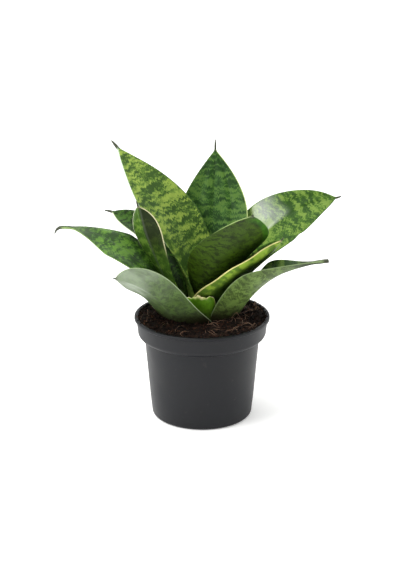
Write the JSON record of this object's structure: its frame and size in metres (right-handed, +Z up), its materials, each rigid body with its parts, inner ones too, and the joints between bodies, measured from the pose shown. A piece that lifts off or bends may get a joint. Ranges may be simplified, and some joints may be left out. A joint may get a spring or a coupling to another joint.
{
  "type": "potted snake plant",
  "caption": "Compact rosette of broad, banded, pointed succulent leaves growing from peat in a round nursery pot with a flat base and a collared rim",
  "frame": {"origin": "middle of the pot's flat underside", "axes": "+Z up along the pot's axis, -Y the plant's show side, +X to the right seen from the show side"},
  "size_m": [0.257, 0.1652, 0.2379],
  "materials": {
    "pot": "moulded polypropylene, anthracite, faint satin",
    "soil": "loose damp peat with coir fibres",
    "rhizome": "pale orange-brown skin",
    "leaf": "waxy, yellow-green bands on dark green, cream margin"
  },
  "bodies": {
    "root": {"leaf_front_right": "leaf", "leaf_tall_left": "leaf", "leaf_back_centre": "leaf", "leaf_upright_left": "leaf", "leaf_folded_right": "leaf", "leaf_short_left": "leaf", "leaf_arching_right": "leaf", "leaf_long_left": "leaf", "torn_sheath": "leaf", "leaf_low_back_right": "leaf", "leaf_low_back_left": "leaf", "leaf_low_right": "leaf", "leaf_broad_front_left": "leaf", "rhizome": "rhizome", "potting_soil": "soil", "pot": "pot"}
  },
  "joints": []
}
